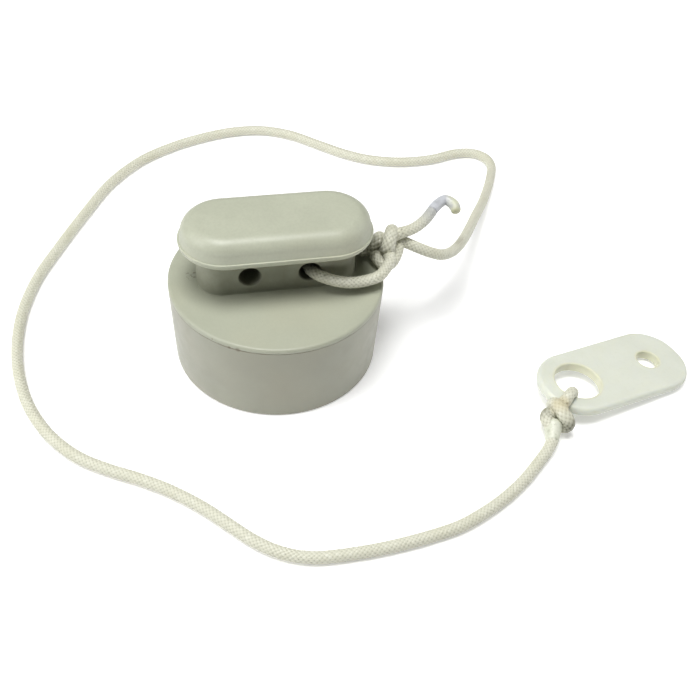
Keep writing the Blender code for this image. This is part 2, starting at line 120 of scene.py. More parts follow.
# The stem knot, about its own centre. The front strand of the loop turns once round the knot's core
# and leaves as the tail. The back strand turns round the front strand and leaves as the pull cord.
STEM_KNOT_CENTRE = (25.6, 2.0, 25.8)
FRONT_STRAND_IN_KNOT = [
    (0.0, -1.9, -1.9), (1.1, 0.1, -2.1), (1.9, 2.1, -1.2), (1.9, 2.9, 0.3), (1.3, 2.1, 1.6),
    (0.7, 0.5, 2.0), (0.1, -0.8, 1.4), (-0.3, -1.6, 0.4), (-0.5, -1.6, -0.7), (-0.5, -0.4, -1.7),
    (-0.2, 1.0, -1.5), (0.6, 1.6, -0.4), (1.8, 1.5, 0.6),
]
BACK_STRAND_IN_KNOT = [
    (-4.9, 1.0, -2.5), (-3.9, 0.6, -2.1), (-3.2, 0.5, -1.3), (-2.4, 0.9, -0.4), (-1.4, 2.2, -0.3),
    (-1.4, 2.9, -1.5), (-2.4, 1.9, -2.8), (-3.0, 0.1, -2.8), (-2.7, -1.9, -2.7), (-2.2, -3.1, -3.1),
    (-1.3, -3.7, -3.5), (-0.2, -3.5, -3.7), (1.2, -2.4, -3.2), (2.4, -0.4, -2.5), (3.0, 1.2, -1.8),
    (3.8, 2.0, -1.5),
]
BEAD_CENTRE = (-0.6, 0.2, 0.2)
BEAD_SWELL = 1.24
BEAD_REACH = 3.6

# The tab, and where it lies.
TAB_THICKNESS = 2.4
TAB_BIG_END_RADIUS = 9.25
TAB_FAR_CORNER_RADIUS = 8.5
TAB_FAR_CORNER_OFFSET = 0.9
TAB_FAR_CORNER_DISTANCE = 21.7
TAB_BIG_HOLE_RADIUS = 5.4
TAB_SMALL_HOLE_RADIUS = 2.65
TAB_SMALL_HOLE_DISTANCE = 21.0
TAB_EDGE_ROUND = 1.0
TAB_HOLE_ROUND = 0.35
TAB_CENTRE = (65.1, -27.3, 2.4)
TAB_HEADING = math.radians(15)
TAB_TILT = math.radians(4.5)

TAB_LOOP_HEADING = math.radians(228.5)
SLEEVE_ROUTE = [(55.6, -37.9, 2.9), (55.0, -39.6, 2.5), (54.3, -41.4, 2.2)]

# The tab's loop and knot, as (outwards from the big hole's centre, sideways, height). Outwards is
# towards the knot, and sideways is positive towards -X.
UPPER_STRAND = [
    (4.3, -0.4, 4.4), (5.4, -0.4, 6.1), (7.4, -0.2, 6.6), (9.3, 0.1, 5.9), (10.5, 0.6, 4.7),
    (11.8, 1.6, 4.1), (12.9, 2.2, 4.1), (13.9, 1.8, 3.8), (14.6, 0.7, 3.3), (15.4, -0.3, 2.8),
]
LOWER_STRAND = [
    (4.1, -0.2, 2.6), (4.8, 0.5, 1.6), (6.2, 1.3, 1.35), (7.6, 2.1, 1.9), (8.8, 2.4, 3.5),
    (9.9, 1.7, 5.2), (11.2, 0.4, 6.0), (12.2, -1.1, 5.6), (12.4, -2.3, 4.6), (12.5, -2.6, 3.4),
    (12.6, -1.8, 2.4), (12.3, -0.4, 2.3), (12.0, 0.8, 2.6),
]
TAB_KNOT_MIDDLE = (11.8, -0.4, 4.2)
TAB_KNOT_SWELL = 1.22
TAB_KNOT_REACH = 4.2
SLEEVE_TOP = (13.0, 0.6, 3.4)
SLEEVE_RADII = [(0, 1.2), (0.05, 1.8), (0.2, 2.1), (0.45, 1.95), (0.7, 1.65), (0.92, 1.47), (1, 1.3)]

# Puck and inner parts, as in the CAD.
PUCK_TOP_RADIUS = 24.0
PUCK_BOTTOM_RADIUS = 23.3
PUCK_HEIGHT = 21.0
SIDE_SLOPE = (PUCK_TOP_RADIUS - PUCK_BOTTOM_RADIUS) / PUCK_HEIGHT
RIM_THICKNESS = 1.1
SEAM_WIDTH = 0.06
SPIGOT_RADIUS = 21.4
SPIGOT_DEPTH = 3.1
SPIGOT_BOTTOM = PUCK_HEIGHT - SPIGOT_DEPTH
LEDGE_RADIUS = 20.4
LEDGE_HEIGHT = 1.4
COVER_RADIUS = 21.2
COVER_THICKNESS = 2.4
GAP = 0.3
INSIDE_BOTTOM = COVER_THICKNESS + GAP
SCREW_COUNT = 3
SCREW_CIRCLE_RADIUS = 17.2
SCREW_FIRST_ANGLE = math.radians(80)
SCREW_SHANK_RADIUS = 1.1
SCREW_HEAD_RADIUS = 2.2
SCREW_HEAD_HEIGHT = 1.2
SCREW_LENGTH = 11.0
SCREW_HEAD_TOP = GAP + SCREW_HEAD_HEIGHT
SCREW_THREAD_PITCH = 1.0
SCREW_THREAD_DEPTH = 0.28
SCREW_ROOT_RADIUS = SCREW_SHANK_RADIUS - SCREW_THREAD_DEPTH
SCREW_THREAD_FADE = 0.8
SCREW_POINT_LENGTH = 2.2
# The recess in the head, as (length, width, depth from the head's face) of each of its two slots.
SCREW_RECESS = [(2.7, 0.62, -0.4), (2.5, 0.58, 0.0), (1.5, 0.46, 0.85)]
BOSS_RADIUS = 3.0
CUP_RADIUS = 12.0
CUP_WALL = 1.6
CUP_HEIGHT = 8.4
CUP_TOP = INSIDE_BOTTOM + CUP_HEIGHT
MAGNET_RADIUS = 9.9
MAGNET_HEIGHT = 6.2
FOAM_RADIUS = 10.0
LOCATING_RING_WALL = 1.4
LOCATING_RING_HEIGHT = 2.2
GRIP_LENGTH = 42.2
GRIP_WIDTH = 19.9
GRIP_TOP = 37.6
GRIP_WIDEST_HEIGHT = 32.8
GRIP_UNDERSIDE = 31.2
GRIP_TOP_ROUND = 3.2
GRIP_UNDER_ROUND = 1.3
GRIP_DRAFT = 0.7
PARTING_LEDGE = 0.32
STEM_LENGTH = 35.2
STEM_WIDTH = 10.7
STEM_HOLE_RADIUS = 2.3
STEM_HOLE_OFFSET = 6.5
STEM_HOLE_HEIGHT = 25.5
STEM_HOLE_LIP = 0.45

# How finely round shapes are stepped.
CORNER_STEPS = 4
TURNED_STEPS = 160
DISC_STEPS = 128
SMALL_STEPS = 48
HOLE_STEPS = 64
TAB_BIG_HOLE_STEPS = 96
TAB_SMALL_HOLE_STEPS = 72
TUBE_COLUMNS = 40
TUBE_SPACING = 0.2
SCREW_COLUMNS = 40
SCREW_RINGS_PER_PITCH = 8
SHARP_ANGLE = math.radians(30)

PUTTY_TINT = (0.455, 0.473, 0.370)
# Painted shade: the side wall is the grip's plastic in a darker tint, as less light falls on it.
SHADED_SIDE_TINT = (0.330, 0.332, 0.265)
# Heights between which nothing of the base cover lies, so that its material gets no seam dirt.
NO_SEAM = (-1.0, -0.5)

# Wear, and painted shade at the stem knot. Each spot is (place, full, none): it is full within the first
# distance of its place, and fades out by the second. The knots' places are given as their strands are.
SCUFF = ((-18.5, 2.0, 21.0), 0.9, 2.3)
RIM_DIRT = [
    ((-15.9, -17.6, 20.4), 0.15, 0.4),
    ((-12.9, -20.3, 19.9), 0.1, 0.55),
    ((-11.2, -21.2, 19.9), 0.05, 0.8),
]
# Painted shade on the stem knot's sheltered side, under the grip.
STEM_KNOT_SHADE = [((-3.8, 1.0, -1.6), 2.6, 4.2), ((-1.2, -1.7, -1.8), 0.9, 2.4)]
TAB_KNOT_GRIME = [((12.9, 3.2, 4.4), 1.0, 2.6), ((12.2, -3.2, 3.6), 1.4, 3.2)]
TAB_KNOT_STAIN = ((10.8, 0.2, 6.4), 1.2, 3.0)
# The sealed tip is bluish up to the first place along X, and yellow from the second.
TIP_YELLOWING = (41.6, 43.7)


# ---------------------------------------------------------------- shapes


def polar(distance, heading):
    return Vector((distance * math.cos(heading), distance * math.sin(heading), 0.0))


def quarter_round(width, height, steps):
    """(inset, rise) pairs round a corner, from its side to its face."""
    for step in range(steps + 1):
        angle = math.pi / 2 * step / steps
        yield width * (1 - math.sin(angle)), height * (1 - math.cos(angle))


def link_object(name, data):
    obj = bpy.data.objects.new(name, data)
    bpy.context.scene.collection.objects.link(obj)
    return obj


def link_mesh(name, points, faces):
    """A smooth object from an array of points in metres."""
    mesh = bpy.data.meshes.new(name)
    mesh.from_pydata(points.tolist(), [], faces)
    mesh.validate()
    mesh.shade_smooth()
    return link_object(name, mesh)


def link_shape(name, shape):
    """An object from a bmesh in millimetres."""
    bmesh.ops.remove_doubles(shape, verts=shape.verts, dist=1e-4)
    bmesh.ops.recalc_face_normals(shape, faces=shape.faces)
    bmesh.ops.scale(shape, vec=(MM, MM, MM), verts=shape.verts)
    mesh = bpy.data.meshes.new(name)
    shape.to_mesh(mesh)
    shape.free()
    return link_object(name, mesh)


def apply_modifiers(obj):
    graph = bpy.context.evaluated_depsgraph_get()
    mesh = bpy.data.meshes.new_from_object(obj.evaluated_get(graph))
    obj.modifiers.clear()
    obj.data = mesh


def boolean(obj, others, operation):
    """obj joined with or cut by each of others, which are then removed."""
    for other in others:
        modifier = obj.modifiers.new(operation, "BOOLEAN")
        modifier.object = other
        modifier.operation = operation
        modifier.solver = "EXACT"
        apply_modifiers(obj)
        bpy.data.objects.remove(other, do_unlink=True)


def merged(objects):
    """One cutter that holds the meshes of several."""
    bpy.context.view_layer.update()
    shape = bmesh.new()
    for obj in objects:
        mesh = obj.data.copy()
        mesh.transform(obj.matrix_world)
        shape.from_mesh(mesh)
        bpy.data.objects.remove(obj, do_unlink=True)
    mesh = bpy.data.meshes.new("cutters")
    shape.to_mesh(mesh)
    shape.free()
    return link_object("cutters", mesh)


def tube_faces(rings, columns):
    """Quads between rings, and a fan on a centre point at each end."""
    ring = np.arange(rings - 1)[:, None] * columns
    here = np.arange(columns)[None, :]
    after = (here + 1) % columns
    quads = np.stack(
        [ring + here, ring + after, ring + columns + after, ring + columns + here], axis=-1
    )
    faces = [tuple(quad) for quad in quads.reshape(-1, 4).tolist()]
    start, end = rings * columns, rings * columns + 1
    last = (rings - 1) * columns
    for i in range(columns):
        j = (i + 1) % columns
        faces.append((start, j, i))
        faces.append((end, last + i, last + j))
    return faces


def softened(outline):
    """An outline of (x, y) or (x, y, round) corners, with each given corner rounded."""
    points = []
    for i, corner in enumerate(outline):
        here = Vector(corner[:2])
        if len(corner) == 2:
            points.append(tuple(here))
            continue
        before = here + (Vector(outline[i - 1][:2]) - here).normalized() * corner[2]
        following = Vector(outline[(i + 1) % len(outline)][:2])
        after = here + (following - here).normalized() * corner[2]
        for step in range(CORNER_STEPS + 1):
            t = step / CORNER_STEPS
            points.append(tuple(before.lerp(here, t).lerp(here.lerp(after, t), t)))
    return points


def turned(name, profile, steps=TURNED_STEPS):
    """A (radius, height) outline turned about Z. It is a ring unless it starts and ends on the axis."""
    outline = softened(profile)
    shape = bmesh.new()
    points = [shape.verts.new((radius, 0.0, height)) for radius, height in outline]
    ends = points[1:] + points[:1] if outline[0][0] > 0 else points[1:]
    edges = [shape.edges.new(pair) for pair in zip(points, ends)]
    about_z = {"cent": (0, 0, 0), "axis": (0, 0, 1), "angle": math.tau}
    bmesh.ops.spin(shape, geom=points + edges, steps=steps, use_merge=True, **about_z)
    return link_shape(name, shape)


def loft(name, rings):
    """A closed solid through rings of equal length, with flat ends."""
    shape = bmesh.new()
    loops = [[shape.verts.new(point) for point in ring] for ring in rings]
    for lower, upper in zip(loops, loops[1:]):
        for i, corner in enumerate(lower):
            after = (i + 1) % len(lower)
            shape.faces.new((corner, lower[after], upper[after], upper[i]))
    shape.faces.new(reversed(loops[0]))
    shape.faces.new(loops[-1])
    return link_shape(name, shape)


def bar_ring(length, width, height, steps=40):
    """A ring with two straight sides along X and two round ends."""
    radius = width / 2
    centre = length / 2 - radius
    ring = []
    for side in (1, -1):
        for step in range(steps + 1):
            angle = math.pi * (step / steps - 0.5)
            x = side * (centre + radius * math.cos(angle))
            ring.append((x, side * radius * math.sin(angle), height))
    return ring


def flared_profile(radius, bottom, top, lip):
    """The outline of a round cutter that opens out by lip at both ends."""
    flare = [(radius + inset, rise) for inset, rise in quarter_round(lip, lip, 6)]
    beyond = lip + 1
    return [
        (0, bottom - beyond),
        (radius + lip, bottom - beyond),
        *[(across, bottom + rise) for across, rise in flare],
        *[(across, top - rise) for across, rise in reversed(flare)],
        (radius + lip, top + beyond),
        (0, top + beyond),
    ]


def place_piece(obj, node, body=PUCK_BODY):
    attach(obj, body)
    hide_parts(node)
    return obj


def place_solid(obj, node, body=PUCK_BODY):
    """place_piece for a shape with edges: sharp ones stay sharp, and flat faces look flat."""
    obj.data.shade_smooth()
    obj.data.set_sharp_from_angle(angle=SHARP_ANGLE)
    weighted = obj.modifiers.new("weighted normals", "WEIGHTED_NORMAL")
    weighted.keep_sharp = True
    return place_piece(obj, node, body)


def give(obj, material):
    obj.data.materials.clear()
    obj.data.materials.append(material)


# ---------------------------------------------------------------- cord


def smooth_route(route, spacing):
    """Evenly spaced points on a Catmull-Rom curve through the route's own points."""
    points = np.array(route, float)
    points = np.vstack([2 * points[0] - points[1], points, 2 * points[-1] - points[-2]])
    fine = [points[1]]
    for a, b, c, d in zip(points, points[1:], points[2:], points[3:]):
        for t in np.linspace(0.05, 1.0, 20):
            point = 2 * b + (c - a) * t
            point = point + (2 * a - 5 * b + 4 * c - d) * t**2
            point = point + (3 * b - a - 3 * c + d) * t**3
            fine.append(0.5 * point)
    fine = np.array(fine)
    walked = np.concatenate([[0.0], np.cumsum(np.linalg.norm(np.diff(fine, axis=0), axis=1))])
    count = max(3, round(walked[-1] / spacing) + 1)
    even = np.linspace(0.0, walked[-1], count)
    return np.stack([np.interp(even, walked, fine[:, axis]) for axis in range(3)], axis=1)


def carried_frames(points):
    """Two directions across the route at each point, carried along it without twisting."""
    ahead = np.gradient(points, axis=0)
    ahead /= np.linalg.norm(ahead, axis=1, keepdims=True)
    side = np.cross(ahead[0], (0.0, 0.0, 1.0))
    if np.linalg.norm(side) < 0.1:
        side = np.cross(ahead[0], (0.0, 1.0, 0.0))
    sides = []
    for direction in ahead:
        side = side - direction * (side @ direction)
        side = side / np.linalg.norm(side)
        sides.append(side)
    sides = np.array(sides)
    return sides, np.cross(ahead, sides)


def around_route(points, angles, radius):
    """A ring of surface points round each point of a route. radius is for each ring and column."""
    sides, ups = carried_frames(points)
    outward = (
        np.cos(angles)[None, :, None] * sides[:, None, :]
        + np.sin(angles)[None, :, None] * ups[:, None, :]
    )
    return points[:, None, :] + radius[:, :, None] * outward


def braid_height(around, along):
    """The braid's height, 0 to 1, with both places counted in strands.

    The two families of strands wind opposite ways, and the higher one shows. braid_weave holds the
    same pattern for the material.
    """
    heights = []
    for sign in (1, -1):
        own = around - sign * along
        other = around + sign * along
        strand = np.floor(own)
        crown = np.sqrt(np.clip(1 - (STRAND_FILL * (own - strand - 0.5)) ** 2, 0, 1))
        weave = sign * np.cos(math.pi * (other - 0.5 + strand))
        heights.append(CROWN_SHARE * crown + (1 - CROWN_SHARE) * weave)
    return np.clip(np.maximum(*heights), 0, 1)


def add_braid_places(tube, along, columns):
    """Each face corner's place in the braid, counted in strands, for the material to read."""
    ring, column = np.meshgrid(np.arange(len(along) - 1), np.arange(columns), indexing="ij")
    quads = np.zeros((len(along) - 1, columns, 4, 3))
    for corner, (up, over) in enumerate(((0, 0), (0, 1), (1, 1), (1, 0))):
        quads[:, :, corner, 0] = (column + over) / COLUMNS_PER_STRAND
        quads[:, :, corner, 1] = along[ring + up]
    fans = np.zeros((columns, 2, 3, 3))
    for corner, share in enumerate((0.5, 1.0, 0.0)):
        fans[:, 0, corner, 0] = (np.arange(columns) + share) / COLUMNS_PER_STRAND
        fans[:, 1, corner, 0] = (np.arange(columns) + 1.0 - share) / COLUMNS_PER_STRAND
    fans[:, 0, :, 1] = along[0]
    fans[:, 1, :, 1] = along[-1]
    places = tube.data.attributes.new("braid_place", "FLOAT_VECTOR", "CORNER")
    places.data.foreach_set("vector", np.concatenate([quads.ravel(), fans.ravel()]))


def braid_along(names, routes, swell=None):
    """One braided cord along several routes in millimetres, as a closed mesh for each route.

    swell is (centre, factor, reach): near that centre the cord is up to factor times as thick.
    It returns the meshes and the cord's centre line in metres.
    """
    points = smooth_route([point for route in routes for point in route], BRAID_RING_SPACING)
    columns = BRAID_STRANDS * COLUMNS_PER_STRAND
    around = np.arange(columns) / COLUMNS_PER_STRAND
    along = np.arange(len(points)) / RINGS_PER_STRAND
    height = braid_height(around[None, :], along[:, None])
    radius = CORD_DIAMETER / 2 + BRAID_DEPTH * (height - BRAID_LEVEL)
    if swell is not None:
        centre, factor, reach = swell
        away = np.linalg.norm(points - np.array(centre), axis=1) / reach
        radius *= 1 + (factor - 1) * np.exp(-(away**4))[:, None]
    surface = around_route(points, math.tau * around / BRAID_STRANDS, radius)
    starts = [np.linalg.norm(points - route[0], axis=1).argmin() for route in routes[1:]]
    cuts = [0, *starts, len(points) - 1]
    tubes = []
    for name, first, last in zip(names, cuts, cuts[1:]):
        rings = slice(first, last + 1)
        ends = np.stack([points[first], points[last]])
        everything = np.vstack([surface[rings].reshape(-1, 3), ends]) * MM
        tube = link_mesh(name, everything, tube_faces(last + 1 - first, columns))
        add_braid_places(tube, along[rings], columns)
        tubes.append(tube)
    return tubes, points * MM


def plain_tube(name, route, radii):
    """A smooth closed tube. radii are (share of the length, radius in millimetres) pairs."""
    points = smooth_route(route, TUBE_SPACING)
    shares = np.linspace(0, 1, len(points))
    radius = np.interp(shares, [share for share, _ in radii], [size for _, size in radii])
    angles = math.tau * np.arange(TUBE_COLUMNS) / TUBE_COLUMNS
    surface = around_route(points, angles, radius[:, None])
    everything = np.vstack([surface.reshape(-1, 3), points[0], points[-1]]) * MM
    return link_mesh(name, everything, tube_faces(len(points), TUBE_COLUMNS))


def about_stem_knot(route):
    return [tuple(Vector(point) + Vector(STEM_KNOT_CENTRE)) for point in route]


def about_tab_hole(route):
    """Points given outwards from the big hole, sideways and up, in the CAD's frame."""
    outwards = polar(1.0, TAB_LOOP_HEADING)
    sideways = Vector((outwards.y, -outwards.x, 0.0))
    hole = Vector((TAB_CENTRE[0], TAB_CENTRE[1], 0.0))
    return [
        tuple(hole + outwards * out + sideways * side + Vector((0.0, 0.0, height)))
        for out, side, height in route
    ]


def make_pull_cord():
    """The long run from the stem knot into the sleeve, and its centre line in metres."""
    on_surface = [(x, y, CORD_LIE) for x, y in PULL_CORD_ON_SURFACE]
    into_sleeve = SLEEVE_ROUTE[:0:-1]
    route = PULL_CORD_FALL + on_surface + PULL_CORD_END + into_sleeve
    (cord,), centre_line = braid_along(["pull_cord_braid"], [route])
    return place_piece(cord, "pull_cord"), centre_line


def make_stem_cord():
    """One cord through the stem: the knot's back turn, the loop, the knot's front turn and the tail."""
    routes = [
        about_stem_knot(BACK_STRAND_IN_KNOT[::-1]),
        STEM_LOOP_ROUTE[1:-1][::-1],
        about_stem_knot(FRONT_STRAND_IN_KNOT),
        TAIL_ROUTE,
    ]
    names = ["stem_knot_back_turn", "stem_loop_braid", "stem_knot_front_turn", "cord_tail_braid"]
    bead = (about_stem_knot([BEAD_CENTRE])[0], BEAD_SWELL, BEAD_REACH)
    pieces, _ = braid_along(names, routes, bead)
    for piece, node in zip(pieces, ("stem_knot", "stem_loop", "stem_knot", "cord_tail")):
        place_piece(piece, node)
    return pieces


def make_tip():
    tip = plain_tube("melted_tip", SEALED_TIP_ROUTE, TIP_RADII)
    return place_piece(tip, "sealed_tip")


def make_tab_cord():
    """One cord through the tab: the knot's front turn, the loop and the knot's side turn."""
    routes = [
        about_tab_hole(UPPER_STRAND[4:][::-1]),
        about_tab_hole(UPPER_STRAND[:4][::-1] + LOWER_STRAND[:4]),
        about_tab_hole(LOWER_STRAND[4:]),
    ]
    names = ["tab_knot_front_turn", "tab_loop_braid", "tab_knot_side_turn"]
    middle = (about_tab_hole([TAB_KNOT_MIDDLE])[0], TAB_KNOT_SWELL, TAB_KNOT_REACH)
    pieces, _ = braid_along(names, routes, middle)
    for piece, node in zip(pieces, ("tab_knot", "tab_loop", "tab_knot")):
        place_piece(piece, node)
    return pieces


def make_sleeve():
    route = about_tab_hole([SLEEVE_TOP]) + SLEEVE_ROUTE
    sleeve = plain_tube("knot_sleeve_skin", route, SLEEVE_RADII)
    return place_piece(sleeve, "knot_sleeve")


# ---------------------------------------------------------------- puck


def screw_places():
    for i in range(SCREW_COUNT):
        angle = SCREW_FIRST_ANGLE + math.tau * i / SCREW_COUNT
        yield SCREW_CIRCLE_RADIUS * math.cos(angle), SCREW_CIRCLE_RADIUS * math.sin(angle)


def at_each_screw(name, profile, steps=SMALL_STEPS):
    """A turned shape on the axis of each cover screw."""
    shapes = []
    for x, y in screw_places():
        shape = turned(name, profile, steps)
        shape.location = (x * MM, y * MM, 0)
        shapes.append(shape)
    return shapes


def make_grip_bar():
    under_height = GRIP_WIDEST_HEIGHT - GRIP_UNDERSIDE
    levels = []
    for inset, rise in quarter_round(GRIP_UNDER_ROUND, under_height, 8):
        levels.append((inset, GRIP_UNDERSIDE + rise))
    # The upper half of the mould is a little smaller, which leaves a fine ledge at the widest line.
    for inset, rise in ((0.03, 0.1), (PARTING_LEDGE, 0.16), (PARTING_LEDGE + 0.02, 0.22)):
        levels.append((inset, GRIP_WIDEST_HEIGHT + rise))
    for drop, inset in quarter_round(GRIP_TOP_ROUND, GRIP_TOP_ROUND, 16):
        levels.append((GRIP_DRAFT + inset, GRIP_TOP - drop))
    rings = [bar_ring(GRIP_LENGTH - 2 * inset, GRIP_WIDTH - 2 * inset, z) for inset, z in levels]
    return loft("grip_bar", rings)


def make_stem():
    levels = (PUCK_HEIGHT - 1, GRIP_UNDERSIDE + 1)
    return loft("stem", [bar_ring(STEM_LENGTH, STEM_WIDTH, height) for height in levels])


def make_stem_hole_cutters():
    profile = flared_profile(STEM_HOLE_RADIUS, -STEM_WIDTH / 2, STEM_WIDTH / 2, STEM_HOLE_LIP)
    cutters = []
    for side in (-1, 1):
        hole = turned("hole", profile, HOLE_STEPS)
        centre = Vector((side * STEM_HOLE_OFFSET, 0, STEM_HOLE_HEIGHT)) * MM
        hole.matrix_world = Matrix.Translation(centre) @ Matrix.Rotation(math.pi / 2, 4, "X")
        cutters.append(hole)
    return cutters


def make_grip_housing():
    """The top disc with its spigot and screw bosses, the stem with its two holes, and the grip."""
    rim_bottom = PUCK_HEIGHT - RIM_THICKNESS
    profile = [
        (0, PUCK_HEIGHT),
        (PUCK_TOP_RADIUS, PUCK_HEIGHT, 0.75),
        (PUCK_TOP_RADIUS - SIDE_SLOPE * RIM_THICKNESS, rim_bottom, 0.08),
        (SPIGOT_RADIUS, rim_bottom),
        (SPIGOT_RADIUS, SPIGOT_BOTTOM, 0.3),
        (0, SPIGOT_BOTTOM),
    ]
    housing = turned("grip_moulding", profile)
    boss_profile = [
        (0, SPIGOT_BOTTOM + 1),
        (BOSS_RADIUS, SPIGOT_BOTTOM + 1),
        (BOSS_RADIUS, INSIDE_BOTTOM, 0.3),
        (0, INSIDE_BOTTOM),
    ]
    bore_profile = flared_profile(SCREW_SHANK_RADIUS + 0.02, INSIDE_BOTTOM, SCREW_LENGTH + 1, 0.15)
    stem = make_stem()
    boolean(housing, [stem, make_grip_bar(), *at_each_screw("boss", boss_profile)], "UNION")
    cutters = at_each_screw("bore", bore_profile, HOLE_STEPS) + make_stem_hole_cutters()
    boolean(housing, [merged(cutters)], "DIFFERENCE")
    return place_solid(housing, "grip_housing")


def make_body_shell():
    """The side wall, with an inner ledge that the base cover stops against."""
    top = PUCK_HEIGHT - RIM_THICKNESS - SEAM_WIDTH
    ledge_top = INSIDE_BOTTOM + LEDGE_HEIGHT
    bore_radius = SPIGOT_RADIUS + GAP
    profile = [
        (PUCK_BOTTOM_RADIUS + SIDE_SLOPE * top, top, 0.08),
        (PUCK_BOTTOM_RADIUS, 0, 0.5),
        (COVER_RADIUS + 0.1, 0, 0.15),
        (COVER_RADIUS + 0.1, INSIDE_BOTTOM),
        (LEDGE_RADIUS, INSIDE_BOTTOM),
        (LEDGE_RADIUS, ledge_top),
        (bore_radius, ledge_top + 1),
        (bore_radius, top, 0.3),
    ]
    shell = turned("body_moulding", profile)
    return place_solid(shell, "body_shell")


def make_base_cover():
    """A disc with a ring that locates the magnet cup, and a counterbored hole for each screw."""
    ring_inner = CUP_RADIUS + GAP
    ring_outer = ring_inner + LOCATING_RING_WALL
    ring_top = COVER_THICKNESS + LOCATING_RING_HEIGHT
    profile = [
        (0, COVER_THICKNESS),
        (ring_inner, COVER_THICKNESS),
        (ring_inner, ring_top, 0.3),
        (ring_outer, ring_top, 0.3),
        (ring_outer, COVER_THICKNESS, 0.4),
        (COVER_RADIUS, COVER_THICKNESS, 0.2),
        (COVER_RADIUS, 0, 0.3),
        (0, 0),
    ]
    cover = turned("base_moulding", profile)
    recess_top = SCREW_HEAD_HEIGHT + 2 * GAP
    recess_radius = SCREW_HEAD_RADIUS + GAP
    hole_radius = SCREW_SHANK_RADIUS + GAP
    recess_profile = [
        (0, -1),
        (recess_radius + 0.3, -1),
        (recess_radius + 0.3, 0),
        (recess_radius, 0.3),
        (recess_radius, recess_top),
        (hole_radius, recess_top),
        (hole_radius, COVER_THICKNESS + 1),
        (0, COVER_THICKNESS + 1),
    ]
    cutters = at_each_screw("recess", recess_profile)
    boolean(cover, [merged(cutters)], "DIFFERENCE")
    return place_solid(cover, "base_cover")


def thread_radii(height, turn):
    """The shank's radius at each share of a turn: a thread that fades in, on a shank with a point."""
    from_head = height - SCREW_HEAD_TOP
    phase = (from_head / SCREW_THREAD_PITCH - turn) % 1.0
    crest = np.clip(1 - np.abs(phase - 0.5) / 0.3, 0, 1)
    fade = np.clip(from_head / SCREW_THREAD_FADE, 0, 1)
    point = np.clip((SCREW_LENGTH - height) / SCREW_POINT_LENGTH, 0.1, 1)
    return (SCREW_ROOT_RADIUS + SCREW_THREAD_DEPTH * crest * fade) * point


def make_cross_recess(heading):
    slots = []
    for angle in (0, math.pi / 2):
        rings = [bar_ring(length, width, GAP + depth, steps=6) for length, width, depth in SCREW_RECESS]
        slot_shape = loft("slot", rings)
        slot_shape.matrix_world = Matrix.Rotation(angle + heading, 4, "Z")
        slots.append(slot_shape)
    return slots


def make_cover_screw(index, x, y):
    """A pan-head screw, head down, with a helical thread and a cross recess."""
    head_profile = softened(
        [
            (0.0, GAP),
            (SCREW_HEAD_RADIUS, GAP, 0.5),
            (SCREW_HEAD_RADIUS, SCREW_HEAD_TOP, 0.1),
            (SCREW_SHANK_RADIUS, SCREW_HEAD_TOP),
        ]
    )
    turn = np.arange(SCREW_COLUMNS) / SCREW_COLUMNS
    levels = [(np.full(SCREW_COLUMNS, radius), height) for radius, height in head_profile[1:]]
    thread_step = SCREW_THREAD_PITCH / SCREW_RINGS_PER_PITCH
    for height in np.arange(SCREW_HEAD_TOP + 0.12, SCREW_LENGTH - 0.1, thread_step):
        levels.append((thread_radii(height, turn), height))
    rings = []
    for radii, height in levels:
        across = radii * np.cos(math.tau * turn)
        along = radii * np.sin(math.tau * turn)
        rings.append(np.stack([across, along, np.full(SCREW_COLUMNS, height)], axis=1))
    ends = [(0.0, 0.0, GAP), (0.0, 0.0, SCREW_LENGTH)]
    everything = np.vstack([*rings, *ends]) * MM
    screw = link_mesh(f"base_screw_{index}", everything, tube_faces(len(rings), SCREW_COLUMNS))
    boolean(screw, make_cross_recess(0.6 * index), "DIFFERENCE")
    screw.data.transform(Matrix.Translation(Vector((x, y, 0)) * MM))
    return place_solid(screw, f"cover_screw_{index}")


def make_magnet_cup():
    inner_radius = CUP_RADIUS - CUP_WALL
    profile = [
        (0, CUP_TOP),
        (CUP_RADIUS, CUP_TOP, 0.9),
        (CUP_RADIUS, INSIDE_BOTTOM, 0.25),
        (inner_radius, INSIDE_BOTTOM, 0.25),
        (inner_radius, CUP_TOP - CUP_WALL, 0.5),
        (0, CUP_TOP - CUP_WALL),
    ]
    cup = turned("pot_magnet_cup", profile, DISC_STEPS)
    return place_solid(cup, "magnet_cup")


def make_disc_magnet():
    top = INSIDE_BOTTOM + MAGNET_HEIGHT
    profile = [
        (0, top),
        (MAGNET_RADIUS, top, 0.4),
        (MAGNET_RADIUS, INSIDE_BOTTOM, 0.4),
        (0, INSIDE_BOTTOM),
    ]
    magnet = turned("ferrite_disc", profile, DISC_STEPS)
    return place_solid(magnet, "disc_magnet")


def make_foam_pad():
    top = SPIGOT_BOTTOM - GAP
    bottom = CUP_TOP + GAP
    profile = [
        (0, top),
        (FOAM_RADIUS - 0.5, top, 0.5),
        (FOAM_RADIUS, (top + bottom) / 2, 1.8),
        (FOAM_RADIUS - 0.5, bottom, 0.5),
        (0, bottom),
    ]
    foam = turned("foam_disc", profile, DISC_STEPS)
    place_solid(foam, "foam_pad")
    return foam


# ---------------------------------------------------------------- tab


def tab_outline(inset):
    """The tab's outline about its big hole's centre, moved in by inset."""
    outline = []
    for step in range(SMALL_STEPS + 1):
        angle = math.pi / 2 + math.pi * step / SMALL_STEPS
        outline.append(polar(TAB_BIG_END_RADIUS - inset, angle))
    corner_steps = SMALL_STEPS // 2
    for side in (-1, 1):
        for step in range(corner_steps + 1):
            angle = math.pi / 2 * (step / corner_steps + (side - 1) / 2)
            corner = Vector((TAB_FAR_CORNER_DISTANCE, side * TAB_FAR_CORNER_OFFSET, 0.0))
            outline.append(corner + polar(TAB_FAR_CORNER_RADIUS - inset, angle))
    return outline


def tab_hole_cutter(name, radius, steps):
    return turned(name, flared_profile(radius, 0, TAB_THICKNESS, TAB_HOLE_ROUND), steps)


